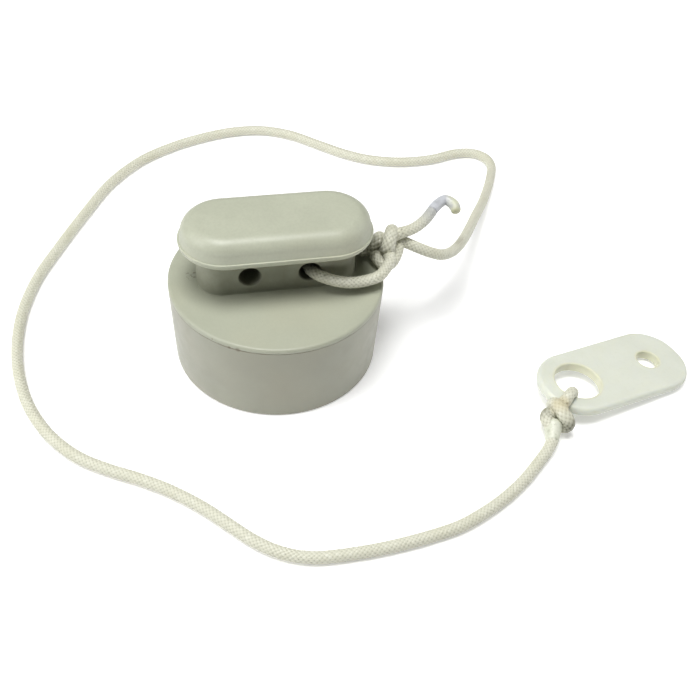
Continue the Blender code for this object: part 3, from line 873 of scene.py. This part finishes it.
def make_end_tab():
    """A flat plate with rounded edges and two holes, where the CAD's tab lies."""
    levels = list(quarter_round(TAB_EDGE_ROUND, TAB_EDGE_ROUND, 6))
    levels += [(inset, TAB_THICKNESS - rise) for inset, rise in reversed(levels)]
    rings = []
    for inset, height in levels:
        rings.append([point + Vector((0, 0, height)) for point in tab_outline(inset)])
    tab = loft("tab_moulding", rings)
    cord_hole = tab_hole_cutter("big_hole", TAB_BIG_HOLE_RADIUS, TAB_BIG_HOLE_STEPS)
    screw_hole = tab_hole_cutter("small_hole", TAB_SMALL_HOLE_RADIUS, TAB_SMALL_HOLE_STEPS)
    screw_hole.location = (TAB_SMALL_HOLE_DISTANCE * MM, 0, 0)
    boolean(tab, [merged([cord_hole, screw_hole])], "DIFFERENCE")
    place = Matrix.Translation(Vector(TAB_CENTRE) * MM)
    turn = Matrix.Rotation(TAB_HEADING, 4, "Z")
    tab.matrix_world = place @ turn @ Matrix.Rotation(TAB_TILT, 4, "Y")
    return place_solid(tab, "end_tab", TAB_BODY)


# ---------------------------------------------------------------- materials


class Graph:
    """A material's node tree with short ways to add nodes to it."""

    def __init__(self, name):
        self.material = bpy.data.materials.new(name)
        self.material.use_nodes = True
        self.tree = self.material.node_tree
        self.shader = self.tree.nodes["Principled BSDF"]
        self.place = self.add("TexCoord").outputs["Object"]

    def feed(self, socket, value):
        """Gives a socket a number, a colour, a vector or another node's output."""
        if isinstance(value, bpy.types.NodeSocket):
            self.tree.links.new(value, socket)
        else:
            socket.default_value = (*value, 1.0) if socket.type == "RGBA" else value

    def add(self, kind, inputs=None, **settings):
        """A new node with its settings, and its inputs by name or number."""
        node = self.tree.nodes.new("ShaderNode" + kind)
        for name, value in settings.items():
            setattr(node, name, value)
        for name, value in (inputs or {}).items():
            self.feed(node.inputs[name], value)
        return node

    def set(self, name, value):
        self.feed(self.shader.inputs[name], value)

    def noise(self, size, detail=3.0, place=None, seed=0.0):
        """Noise with features of about size millimetres, from 0 to 1."""
        inputs = {"Vector": place or self.place, "W": seed, "Scale": 1000.0 / size, "Detail": detail}
        return self.add("TexNoise", inputs, noise_dimensions="4D").outputs["Fac"]

    def ramp(self, value, low, high, to_low=0.0, to_high=1.0):
        """value moved from low..high to to_low..to_high, and kept within it."""
        inputs = {"Value": value, "From Min": low, "From Max": high, "To Min": to_low, "To Max": to_high}
        return self.add("MapRange", inputs, interpolation_type="SMOOTHSTEP").outputs["Result"]

    def math(self, operation, a, b=0.0, c=0.0):
        return self.add("Math", {0: a, 1: b, 2: c}, operation=operation).outputs["Value"]

    def times(self, a, b):
        return self.math("MULTIPLY", a, b)

    def minus(self, a, b):
        return self.math("SUBTRACT", a, b)

    def from_axis(self, a, b):
        """The distance from an axis, from the two distances across it."""
        return self.math("SQRT", self.math("ADD", self.times(a, a), self.times(b, b)))

    def mix(self, share, a, b):
        """Colour a where share is 0 and b where it is 1."""
        node = self.add("Mix", {"Factor": share}, data_type="RGBA")
        for socket, value in zip([s for s in node.inputs if s.type == "RGBA"], (a, b)):
            self.feed(socket, value)
        return next(s for s in node.outputs if s.type == "RGBA")

    def patches(self, colour, tint, size, detail, low, high, most=1.0, seed=0.0):
        """colour with soft patches of tint about size millimetres across, where noise is over low."""
        share = self.ramp(self.noise(size, detail, seed=seed), low, high, 0.0, most)
        return self.mix(share, colour, tint)

    def uneven_roughness(self, smoothest, roughest, size, detail=3.0, seed=0.0):
        noise = self.noise(size, detail, seed=seed)
        self.set("Roughness", self.ramp(noise, 0.3, 0.7, smoothest, roughest))

    def part_of_place(self, axis):
        return self.add("SeparateXYZ", {"Vector": self.place}).outputs[axis]

    def stretched(self, scale, source=None):
        inputs = {"Vector": source or self.place, "Scale": scale}
        return self.add("Mapping", inputs).outputs["Vector"]

    def specks(self, spacing, size):
        """1 in small dots about size across and spacing apart, in millimetres, and 0 elsewhere."""
        inputs = {"Vector": self.place, "Scale": 1000.0 / spacing}
        distance = self.add("TexVoronoi", inputs, voronoi_dimensions="4D").outputs["Distance"]
        return self.ramp(distance, size / spacing * 0.4, size / spacing, 1.0, 0.0)

    def near(self, centre, full, none):
        """1 within full millimetres of centre, fading to 0 at none."""
        node = self.add("VectorMath", {0: self.place, 1: Vector(centre) * MM}, operation="DISTANCE")
        return self.ramp(node.outputs["Value"], full * MM, none * MM, 1.0, 0.0)

    def finished(self, colour, *bumps):
        """The material in its colour. bumps are (height, depth in millimetres), one on the other."""
        self.set("Base Color", colour)
        inputs = {}
        for height, depth in bumps:
            inputs |= {"Height": height, "Distance": depth * MM}
            inputs["Normal"] = self.add("Bump", inputs).outputs["Normal"]
        if bumps:
            self.set("Normal", inputs["Normal"])
        return self.material


def stem_shade(g, height):
    """Painted shade on the moulding: a little on the stem under the grip, and much more inside its
    holes.
    """
    across = g.math("ABSOLUTE", g.part_of_place("Y"))
    along = g.math("ABSOLUTE", g.part_of_place("X"))
    over_disc = g.ramp(height, (PUCK_HEIGHT + 0.05) * MM, (PUCK_HEIGHT + 0.4) * MM)
    under_grip = g.ramp(height, (GRIP_UNDERSIDE - 0.2) * MM, (GRIP_UNDERSIDE + 0.4) * MM, 1.0, 0.0)
    near_stem = g.ramp(across, (STEM_WIDTH / 2 + 0.2) * MM, (STEM_WIDTH / 2 + 0.6) * MM, 1.0, 0.0)
    on_stem = g.times(g.times(over_disc, under_grip), near_stem)
    x = g.minus(along, STEM_HOLE_OFFSET * MM)
    z = g.minus(height, STEM_HOLE_HEIGHT * MM)
    inner, outer = STEM_HOLE_RADIUS + 0.1, STEM_HOLE_RADIUS + 0.5
    in_hole = g.ramp(g.from_axis(x, z), inner * MM, outer * MM, 1.0, 0.0)
    # Patchy painted shade on the stem's faces under the grip, and deeper painted shade inside the holes.
    patchy = g.ramp(g.noise(3.0, 4.0, seed=11.0), 0.3, 0.7, 0.45, 0.62)
    darkening = g.math("MAXIMUM", patchy, g.times(in_hole, 0.85))
    return g.times(on_stem, darkening)


def hairline_scuff(g):
    """Fine dark lines, wandering as scratches do, from 0 to 1."""
    from_middle = g.math("ABSOLUTE", g.minus(g.noise(1.5, 1.0, seed=6.0), 0.5))
    return g.times(g.ramp(from_middle, 0.006, 0.02, 1.0, 0.0), g.near(*SCUFF))


def putty_plastic(name, tint, seam_dirt, with_stem=False):
    """Grey-green moulded plastic: fine satin grain, faint mottling, scuffs, a few dirt specks, and
    painted shade on the grip moulding's stem and disc.
    """
    g = Graph(name)
    darker = tuple(channel * 0.93 for channel in tint)
    warmer = (tint[0] * 1.04, tint[1] * 0.985, tint[2] * 0.93)
    colour = g.patches(tint, darker, 9.0, 4.0, 0.3, 0.7)
    colour = g.patches(colour, warmer, 22.0, 2.0, 0.42, 0.68, 0.55, seed=3.0)
    colour = g.patches(colour, (0.30, 0.31, 0.24), 0.55, 3.0, 0.35, 0.7, 0.16)
    specks = g.times(g.specks(7.0, 0.16), g.ramp(g.noise(16.0, seed=5.0), 0.5, 0.56))
    colour = g.mix(g.times(specks, 0.6), colour, (0.10, 0.085, 0.06))
    height = g.part_of_place("Z")
    low, high = seam_dirt
    over_low = g.ramp(height, (low - 0.25) * MM, low * MM)
    under_high = g.ramp(height, high * MM, (high + 0.25) * MM, 1.0, 0.0)
    near_seam = g.times(over_low, under_high)
    patchy = g.ramp(g.noise(3.5, 4.0, seed=8.0), 0.38, 0.66, 0.1, 0.85)
    patchy = g.times(patchy, g.ramp(g.part_of_place("X"), -6 * MM, 12 * MM, 1.0, 0.3))
    colour = g.mix(g.times(near_seam, patchy), colour, (0.20, 0.18, 0.12))
    if with_stem:
        # Painted shade on the stem under the grip and inside its holes.
        colour = g.mix(stem_shade(g, height), colour, (0.13, 0.13, 0.09))
        # Painted shade: the disc top and everything below it is darker than the grip.
        disc_painted_shade = g.ramp(height, (PUCK_HEIGHT + 0.05) * MM, (PUCK_HEIGHT + 0.3) * MM, 0.5, 0.0)
        colour = g.mix(disc_painted_shade, colour, tuple(channel * 0.74 for channel in tint))
        scuff = g.times(hairline_scuff(g), 0.6)
        colour = g.mix(scuff, colour, (0.12, 0.11, 0.08))
    for spot in RIM_DIRT:
        colour = g.mix(g.times(g.near(*spot), 0.7), colour, (0.13, 0.10, 0.06))
    g.uneven_roughness(0.34, 0.46, 2.5, 5.0, seed=2.0)
    g.set("IOR", 1.48)
    scratch_place = g.stretched((1.0, 0.06, 1.0))
    scratches = g.ramp(g.noise(0.5, 2.0, scratch_place, seed=1.0), 0.60, 0.72)
    return g.finished(colour, (g.noise(0.22, 2.0), 0.012), (scratches, 0.006), (g.noise(6.0, 2.0), 0.05))


def braid_weave(g):
    """braid_height for a material: its height, and each point's place across and along its strand."""
    braid_place = g.add("Attribute", attribute_name="braid_place").outputs["Vector"]
    place = g.add("SeparateXYZ", {"Vector": braid_place})
    around, along = place.outputs["X"], place.outputs["Y"]
    heights = []
    strand_places = []
    for sign in (1, -1):
        own = g.math("MULTIPLY_ADD", along, -sign, around)
        other = g.math("MULTIPLY_ADD", along, sign, around)
        strand = g.math("FLOOR", own)
        across = g.minus(g.minus(own, strand), 0.5)
        square = g.times(across, across)
        rounded = g.math("MULTIPLY_ADD", square, -(STRAND_FILL**2), 1.0)
        crown = g.math("SQRT", g.math("MAXIMUM", rounded, 0.0))
        half_turns = g.math("ADD", g.minus(other, 0.5), strand)
        weave = g.math("COSINE", g.times(half_turns, math.pi))
        crown = g.times(crown, CROWN_SHARE)
        heights.append(g.math("MULTIPLY_ADD", weave, sign * (1 - CROWN_SHARE), crown))
        strand_across = g.math("MULTIPLY_ADD", strand, STRAND_APART, across)
        joined = g.add("CombineXYZ", {"X": strand_across, "Y": other, "Z": sign})
        strand_places.append(joined.outputs["Vector"])
    over = g.math("GREATER_THAN", *heights)
    return g.math("MAXIMUM", *heights), g.mix(over, strand_places[1], strand_places[0])


def knot_shade_and_dirt(g):
    """Darkening on the sheltered side of the two knots, patchy, from 0 to 1: painted shade at the stem
    knot, dirt at the tab knot.
    """
    spots = [(about_stem_knot([place])[0], full, none) for place, full, none in STEM_KNOT_SHADE]
    spots += [(about_tab_hole([place])[0], full, none) for place, full, none in TAB_KNOT_GRIME]
    most = 0.0
    for spot in spots:
        most = g.math("MAXIMUM", most, g.near(*spot))
    patchy = g.ramp(g.noise(1.6, 4.0, seed=9.0), 0.35, 0.62)
    return g.times(most, g.math("MULTIPLY_ADD", patchy, 0.5, 0.5))


def cord_braid():
    """Braided nylon: painted highlight on the strand crowns, fibre lines along each strand, painted
    shade between the strands.
    """
    g = Graph("braided_nylon")
    height, strand = braid_weave(g)
    fibres = g.noise(1000.0, 2.0, g.stretched((14.0, 1.6, 1.0), strand))
    each_strand = g.noise(1000.0, 1.0, g.stretched((0.14, 0.5, 1.0), strand), seed=7.0)
    # Painted highlight and shade: the braid's high parts are lighter and its low parts darker.
    colour = g.mix(g.ramp(height, 0.35, 1.0), (0.56, 0.556, 0.435), (0.69, 0.685, 0.565))
    colour = g.mix(g.ramp(each_strand, 0.5, 0.75, 0.0, 0.5), colour, (0.83, 0.83, 0.73))
    colour = g.mix(g.ramp(fibres, 0.35, 0.65, 0.0, 0.3), colour, (0.60, 0.60, 0.49))
    colour = g.patches(colour, (0.58, 0.57, 0.42), 9.0, 4.0, 0.45, 0.72, 0.4)
    # Painted shade in the hollows between strands.
    hollow_painted_shade = g.ramp(height, 0.25, 0.55, 0.6, 0.0)
    colour = g.mix(hollow_painted_shade, colour, (0.34, 0.33, 0.25))
    specks = g.times(g.specks(5.0, 0.32), g.ramp(g.noise(11.0, seed=4.0), 0.5, 0.55))
    colour = g.mix(g.times(specks, 0.7), colour, (0.17, 0.14, 0.08))
    # Painted shade on the stem knot's sheltered side and dirt on the tab knot, more in the hollows
    # between strands.
    darkening = g.times(knot_shade_and_dirt(g), g.ramp(height, 0.3, 1.0, 0.95, 0.7))
    colour = g.mix(darkening, colour, (0.12, 0.12, 0.07))
    place, full, none = TAB_KNOT_STAIN
    stain = g.near(about_tab_hole([place])[0], full, none)
    colour = g.mix(g.times(stain, 0.6), colour, (0.57, 0.50, 0.30))
    # Painted shade on the cord where it runs into the stem hole.
    in_hole = g.near((STEM_HOLE_OFFSET, 0.0, STEM_HOLE_HEIGHT), 5.0, 8.0)
    colour = g.mix(g.times(in_hole, 0.85), colour, (0.06, 0.06, 0.045))
    tip_side = g.times(g.near(SEALED_TIP_ROUTE[0], 1.5, 8.0), 0.9)
    colour = g.mix(tip_side, colour, (0.46, 0.47, 0.455))
    g.set("Roughness", g.ramp(fibres, 0.3, 0.7, 0.30, 0.46))
    g.set("Sheen Weight", 0.1)
    g.set("Sheen Roughness", 0.4)
    return g.finished(colour, (fibres, 0.04), (height, 0.10))


def melted_tip():
    """The cord's end, melted and bound: glassy and a little bluish, then yellow at the very end."""
    g = Graph("melted_nylon")
    blue_until, yellow_from = TIP_YELLOWING
    to_end = g.ramp(g.part_of_place("X"), blue_until * MM, yellow_from * MM)
    colour = g.mix(to_end, (0.54, 0.555, 0.585), (0.59, 0.60, 0.46))
    colour = g.patches(colour, (0.39, 0.40, 0.415), 1.4, 4.0, 0.4, 0.7, 0.6)
    colour = g.mix(g.near(SEALED_TIP_ROUTE[-1], 0.8, 1.9), colour, (0.50, 0.50, 0.33))
    colour = g.mix(g.times(g.specks(1.5, 0.25), 0.5), colour, (0.36, 0.30, 0.16))
    g.uneven_roughness(0.25, 0.45, 0.9)
    g.set("Subsurface Weight", 0.15)
    g.set("Subsurface Radius", (0.001, 0.001, 0.001))
    return g.finished(colour, (g.noise(0.8, 3.0), 0.09), (g.noise(0.25, 2.0), 0.03))


def sleeve_plastic():
    """A thin white sleeve shrunk on the knot: satin, with faint wraps and a little grime."""
    g = Graph("shrunk_sleeve")
    colour = g.patches((0.70, 0.715, 0.60), (0.56, 0.58, 0.46), 2.0, 4.0, 0.35, 0.7)
    colour = g.patches(colour, (0.41, 0.42, 0.31), 0.8, 3.0, 0.5, 0.72, 0.6, seed=4.0)
    g.uneven_roughness(0.36, 0.5, 1.0)
    wraps = g.noise(0.9, 2.0, g.stretched((1.0, 1.0, 0.25)))
    return g.finished(colour, (wraps, 0.10), (g.noise(0.3, 2.0), 0.02))


def tab_plastic():
    """Off-white nylon: soft and slightly translucent, cream in the hole walls, faintly uneven."""
    g = Graph("tab_nylon")
    colour = g.patches((0.700, 0.722, 0.630), (0.665, 0.688, 0.598), 7.0, 3.0, 0.3, 0.7)
    colour = g.patches(colour, (0.58, 0.59, 0.48), 0.8, 3.0, 0.5, 0.75, 0.2, seed=6.0)
    holes = ((0.0, TAB_BIG_HOLE_RADIUS), (TAB_SMALL_HOLE_DISTANCE, TAB_SMALL_HOLE_RADIUS))
    for distance, radius in holes:
        x = g.minus(g.part_of_place("X"), distance * MM)
        from_centre = g.from_axis(x, g.part_of_place("Y"))
        wall = g.ramp(from_centre, (radius + 0.1) * MM, (radius + 0.8) * MM, 0.65, 0.0)
        colour = g.mix(wall, colour, (0.68, 0.67, 0.48))
    g.uneven_roughness(0.36, 0.5, 1.5, 4.0)
    g.set("Subsurface Weight", 0.5)
    g.set("Subsurface Radius", (0.0030, 0.0028, 0.0020))
    return g.finished(colour, (g.noise(3.0, 3.0), 0.05), (g.noise(0.25, 2.0), 0.010))


def bare_steel(name, tone, streak_size):
    """Plated steel with fine turning marks and a few dull spots."""
    g = Graph(name)
    streaks = g.noise(streak_size, 3.0, g.stretched((1.0, 1.0, 14.0)))
    colour = g.mix(g.ramp(streaks, 0.3, 0.7), (tone, tone, tone * 1.02), (tone * 0.8,) * 3)
    dull = (tone * 0.55, tone * 0.5, tone * 0.42)
    colour = g.patches(colour, dull, 1.6, 4.0, 0.55, 0.75, 0.6, seed=2.0)
    g.set("Metallic", 1.0)
    g.set("Roughness", g.ramp(streaks, 0.3, 0.7, 0.26, 0.44))
    return g.finished(colour, (streaks, 0.01))


def ferrite():
    """Sintered ferrite: dark grey and grainy, with small lighter chips."""
    g = Graph("sintered_ferrite")
    colour = g.patches((0.035, 0.035, 0.038), (0.075, 0.075, 0.08), 0.7, 4.0, 0.3, 0.7)
    colour = g.mix(g.times(g.specks(2.5, 0.3), 0.5), colour, (0.16, 0.16, 0.17))
    g.uneven_roughness(0.5, 0.7, 1.2)
    return g.finished(colour, (g.noise(0.4, 4.0), 0.05))


def open_foam():
    """Charcoal polyurethane foam with open pores."""
    g = Graph("open_cell_foam")
    pores = g.specks(0.55, 0.42)
    colour = g.mix(pores, (0.085, 0.085, 0.09), (0.02, 0.02, 0.022))
    colour = g.patches(colour, (0.12, 0.12, 0.125), 3.0, 3.0, 0.4, 0.7, 0.4)
    g.uneven_roughness(0.88, 0.97, 0.8)
    return g.finished(colour, (g.minus(1.0, pores), 0.2))


def floor_paint():
    """Near-white paint that glows a little, so that the floor stays pale under soft light."""
    g = Graph("pale_floor")
    colour = g.patches((0.93, 0.93, 0.93), (0.915, 0.915, 0.915), 60.0, 3.0, 0.3, 0.7)
    g.set("Roughness", 0.75)
    g.set("Specular IOR Level", 0.2)
    g.set("Emission Color", (1.0, 1.0, 1.0))
    g.set("Emission Strength", 0.25)
    return g.finished(colour)


# ---------------------------------------------------------------- studio


def make_floor():
    half = FLOOR_SIZE / 2 * MM
    level = -FLOOR_DROP * MM
    corners = [(-half, -half, level), (half, -half, level), (half, half, level), (-half, half, level)]
    mesh = bpy.data.meshes.new("floor")
    mesh.from_pydata(corners, [], [(0, 1, 2, 3)])
    mesh.materials.append(floor_paint())
    link_object("floor", mesh)


def add_area_light(name, place, size, power):
    """A square soft box at place, in millimetres, that faces the puck."""
    data = bpy.data.lights.new(name, "AREA")
    data.size = size * MM
    data.energy = power
    light = link_object(name, data)
    light.location = Vector(place) * MM
    towards = Vector(LIGHTS_AIM) - Vector(place)
    light.rotation_euler = towards.to_track_quat("-Z", "Y").to_euler()


def make_lights():
    world = bpy.data.worlds.new("studio")
    world.use_nodes = True
    background = world.node_tree.nodes["Background"]
    background.inputs["Color"].default_value = (1.0, 1.0, 1.0, 1.0)
    background.inputs["Strength"].default_value = WORLD_STRENGTH
    bpy.context.scene.world = world
    for soft_box in SOFT_BOXES:
        add_area_light(*soft_box)


def make_camera():
    data = bpy.data.cameras.new("camera")
    data.lens = CAMERA_LENS
    data.sensor_width = CAMERA_SENSOR
    data.clip_start = CAMERA_NEAREST * MM
    camera = link_object("camera", data)
    ahead = Vector(
        (
            math.sin(CAMERA_HEADING) * math.cos(CAMERA_DOWN),
            math.cos(CAMERA_HEADING) * math.cos(CAMERA_DOWN),
            -math.sin(CAMERA_DOWN),
        )
    )
    turn = ahead.to_track_quat("-Z", "Y").to_matrix().to_4x4()
    place = Matrix.Translation(Vector(CAMERA_PLACE) * MM)
    camera.matrix_world = place @ turn @ Matrix.Rotation(CAMERA_ROLL, 4, "Z")
    bpy.context.scene.camera = camera


# ---------------------------------------------------------------- the whole

make_camera()
pull_cord, cord_line = make_pull_cord()
stem_cord = make_stem_cord()
tip = make_tip()
tab_cord = make_tab_cord()
sleeve = make_sleeve()
braid = cord_braid()
for piece in [pull_cord, *stem_cord, *tab_cord]:
    give(piece, braid)
give(tip, melted_tip())
give(sleeve, sleeve_plastic())

seam = (PUCK_HEIGHT - RIM_THICKNESS - SEAM_WIDTH, PUCK_HEIGHT - RIM_THICKNESS)
give(make_grip_housing(), putty_plastic("grip_plastic", PUTTY_TINT, seam, with_stem=True))
# The body shell's darker tint is painted shade.
give(make_body_shell(), putty_plastic("body_plastic", SHADED_SIDE_TINT, seam))
give(make_base_cover(), putty_plastic("base_plastic", PUTTY_TINT, NO_SEAM))
screw_steel = bare_steel("plated_screw_steel", tone=0.55, streak_size=0.5)
for number, (screw_x, screw_y) in enumerate(screw_places(), 1):
    give(make_cover_screw(number, screw_x, screw_y), screw_steel)
give(make_magnet_cup(), bare_steel("cup_steel", tone=0.5, streak_size=1.2))
give(make_disc_magnet(), ferrite())
give(make_foam_pad(), open_foam())
end_tab = make_end_tab()
give(end_tab, tab_plastic())

make_floor()
make_lights()
bpy.context.scene.view_settings.view_transform = "Standard"
